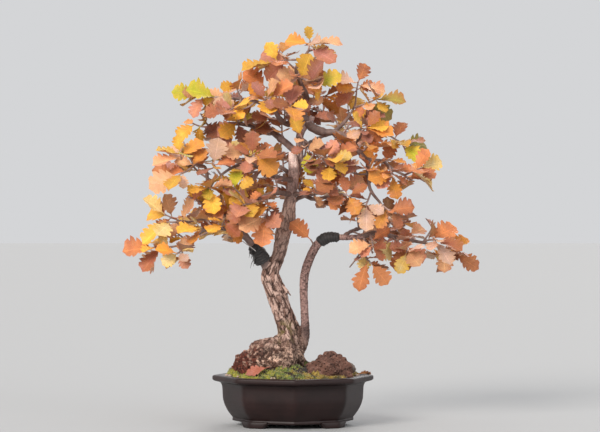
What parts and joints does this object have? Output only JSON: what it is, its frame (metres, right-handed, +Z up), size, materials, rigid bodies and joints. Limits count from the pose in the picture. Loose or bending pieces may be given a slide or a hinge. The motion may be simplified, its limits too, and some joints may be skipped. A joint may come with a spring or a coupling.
{
  "type": "oak bonsai",
  "caption": "Autumn-coloured oak bonsai with a leaning gnarled trunk and a slim second trunk, rooted among moss and rock in an octagonal brown clay pot.",
  "frame": {"origin": "on the ground under the middle of the whole tree's box, level with the undersides of the pot's feet", "axes": "+Z up along the tree, +X to the right and +Y to the back of the tree's front view"},
  "size_m": [0.6512, 0.356, 0.7326],
  "materials": {
    "clay": "unglazed dark brown stoneware, faintly satin",
    "soil": "dark granular bonsai soil",
    "screen": "black plastic mesh",
    "bark": "rough plated grey-brown bark with pale flakes",
    "wrapping": "dark wound tape, matt",
    "lava": "porous purple-brown lava rock",
    "gravel": "small pale weathered stone",
    "moss_gold": "golden yellow moss, matt",
    "moss_green": "green moss, matt",
    "leaf_yellow": "yellow autumn leaf, soft sheen",
    "leaf_amber": "amber autumn leaf, soft sheen",
    "leaf_orange": "orange autumn leaf, soft sheen",
    "leaf_peach": "peach autumn leaf, soft sheen",
    "leaf_salmon": "salmon autumn leaf, soft sheen",
    "leaf_rose": "dusty rose autumn leaf, soft sheen",
    "leaf_cream": "cream autumn leaf, soft sheen",
    "leaf_brown": "brown autumn leaf, soft sheen",
    "leaf_rust": "rust red autumn leaf, soft sheen",
    "leaf_green": "green-yellow autumn leaf, soft sheen"
  },
  "bodies": {
    "root": {"pot": "clay", "drain_screen_left": "screen", "drain_screen_right": "screen", "soil": "soil", "moss_gold": "moss_gold", "moss_front": "moss_green", "moss_back": "moss_green", "trunk": "bark", "rock": "lava", "stone_small": "gravel", "wrap_right": "wrapping", "wrap_left": "wrapping", "fallen_leaf_left": "leaf_rust", "fallen_leaf_right": "leaf_orange", "apex_top": "leaf_amber", "apex_left": "leaf_peach", "apex_mid": "leaf_rose", "left_top_end": "leaf_green", "left_top_low": "leaf_peach", "left_shoulder": "leaf_amber", "centre_star": "leaf_amber", "left_upper_end": "leaf_yellow", "left_upper_mid": "leaf_green", "left_outer": "leaf_yellow", "left_outer_low": "leaf_peach", "left_mid_end": "leaf_amber", "left_big": "leaf_yellow", "node_left": "leaf_orange", "front_left_end": "leaf_cream", "front_left_low": "leaf_peach", "left_drop_mid": "leaf_rust", "left_fan_end": "leaf_cream", "left_drop_end": "leaf_peach", "left_low_top": "leaf_amber", "front_right_mid": "leaf_orange", "front_right_end": "leaf_rust", "front_mid_low": "leaf_green", "front_mid_end": "leaf_orange", "right_up_end": "leaf_peach", "right_shoulder_low": "leaf_amber", "right_shoulder_end": "leaf_orange", "right_main_end": "leaf_orange", "right_main_mid": "leaf_salmon", "right_hang_end": "leaf_orange", "right_hang_mid": "leaf_brown", "right_low_mid": "leaf_orange", "right_low_end": "leaf_rust", "right_low_tip": "leaf_peach", "right_low_hang": "leaf_cream", "hanging_pair": "leaf_orange", "single_leaf": "leaf_orange", "back_top_end": "leaf_amber", "back_top_side": "leaf_orange", "back_right_end": "leaf_peach", "back_right_side": "leaf_amber", "back_left_end": "leaf_yellow", "back_left_side": "leaf_orange", "back_low_end": "leaf_peach", "back_right_low_end": "leaf_rust", "back_left_low_end": "leaf_amber"}
  },
  "joints": []
}
